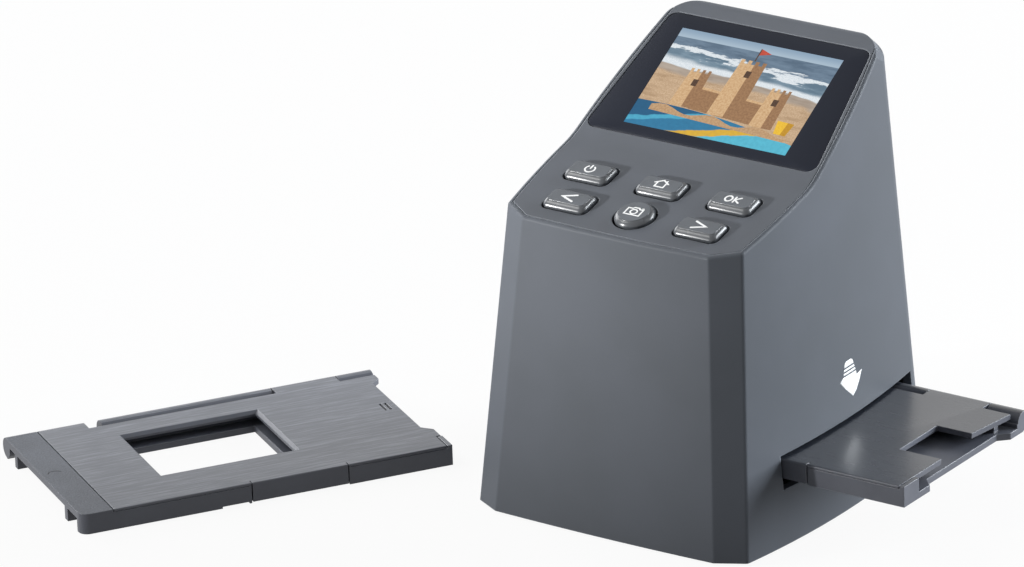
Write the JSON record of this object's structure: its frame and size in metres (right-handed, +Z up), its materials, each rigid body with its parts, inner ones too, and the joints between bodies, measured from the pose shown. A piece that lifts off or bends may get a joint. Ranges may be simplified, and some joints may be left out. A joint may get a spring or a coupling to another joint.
{
  "type": "film_scanner",
  "caption": "Table-top film and slide scanner with a sloping key and display deck, a film tray in its side slot and a second hinged tray beside it",
  "frame": {"origin": "on the table plane, under the middle of the scanner's housing", "axes": "+X to the housing's right, along the tray's travel; +Y to its back; +Z up"},
  "size_m": [0.2432, 0.1547, 0.1126],
  "materials": {
    "shell_grey": "satin moulded plastic",
    "deck_grey": "fine satin moulded plastic",
    "window_black": "printed dark border, clear middle",
    "display": "lit colour display",
    "steel": "plain steel",
    "key_grey": "fine textured, glossy bevels",
    "board_green": "coated circuit board",
    "parts_black": "black moulded plastic",
    "foot_rubber": "matt rubber",
    "inner_plastic": "black moulded plastic",
    "white_plastic": "milky plastic",
    "lens_glass": "polished",
    "ribbon": "amber film",
    "tray_grey": "satin to glossy moulded plastic"
  },
  "bodies": {
    "housing": {"main_shell": "shell_grey", "top_deck": "deck_grey", "display_window": "window_black", "lcd_panel": "display", "lcd_frame": "steel", "key_board": "board_green", "tact_switches": "parts_black", "base_plate": "shell_grey", "rubber_feet": "foot_rubber", "case_screws": "steel", "lower_guide": "inner_plastic", "guide_rails": "inner_plastic", "upper_guide": "inner_plastic", "detent_spring": "steel", "led_board": "board_green", "leds": "white_plastic", "light_box": "inner_plastic", "diffuser": "white_plastic", "optics_housing": "parts_black", "lens_barrel": "parts_black", "lens_elements": "lens_glass", "image_sensor": "parts_black", "ir_filter": "lens_glass", "sensor_board": "board_green", "main_board": "board_green", "board_components": "parts_black", "card_slot": "steel", "usb_port": "steel", "board_screws": "steel", "guide_screws": "steel", "lcd_ribbon": "ribbon", "key_ribbon": "ribbon", "sensor_ribbon": "ribbon", "led_lead": "ribbon"},
    "power_button": {"power_button": "key_grey"},
    "home_button": {"home_button": "key_grey"},
    "ok_button": {"ok_button": "key_grey"},
    "left_button": {"left_button": "key_grey"},
    "capture_button": {"capture_button": "key_grey"},
    "right_button": {"right_button": "key_grey"},
    "inserted_tray": {"inserted_tray_base": "tray_grey", "inserted_tray_lid": "tray_grey", "inserted_hinge_pin": "steel"},
    "loose_tray": {"loose_tray_base": "tray_grey", "loose_hinge_pin": "steel"},
    "loose_lid": {"loose_tray_lid": "tray_grey"}
  },
  "joints": [
    {"name": "power_button_press", "type": "slide", "parent": "housing", "child": "power_button", "axis": [0, 0.2453, -0.9694], "range_m": [0, 0.0008], "stiffness_N_per_m": 500},
    {"name": "home_button_press", "type": "slide", "parent": "housing", "child": "home_button", "axis": [0, 0.2453, -0.9694], "range_m": [0, 0.0008], "stiffness_N_per_m": 500},
    {"name": "ok_button_press", "type": "slide", "parent": "housing", "child": "ok_button", "axis": [0, 0.2453, -0.9694], "range_m": [0, 0.0008], "stiffness_N_per_m": 500},
    {"name": "left_button_press", "type": "slide", "parent": "housing", "child": "left_button", "axis": [0, 0.2453, -0.9694], "range_m": [0, 0.0008], "stiffness_N_per_m": 500},
    {"name": "capture_button_press", "type": "slide", "parent": "housing", "child": "capture_button", "axis": [0, 0.2453, -0.9694], "range_m": [0, 0.0008], "stiffness_N_per_m": 500},
    {"name": "right_button_press", "type": "slide", "parent": "housing", "child": "right_button", "axis": [0, 0.2453, -0.9694], "range_m": [0, 0.0008], "stiffness_N_per_m": 500},
    {"name": "tray_slide", "type": "slide", "parent": "housing", "child": "inserted_tray", "axis": [1, 0, 0], "range_m": [-0.03, 0.06]},
    {"name": "loose_tray_lift", "type": "slide", "parent": "housing", "child": "loose_tray", "axis": [0, 0, 1], "range_m": [0, 0.05]},
    {"name": "loose_lid_hinge", "type": "hinge", "parent": "loose_tray", "child": "loose_lid", "pos_m": [-0.13607, -0.03267, 0.0029], "axis": [-0.5432, -0.8396, 0], "range_deg": [0, 150]}
  ]
}
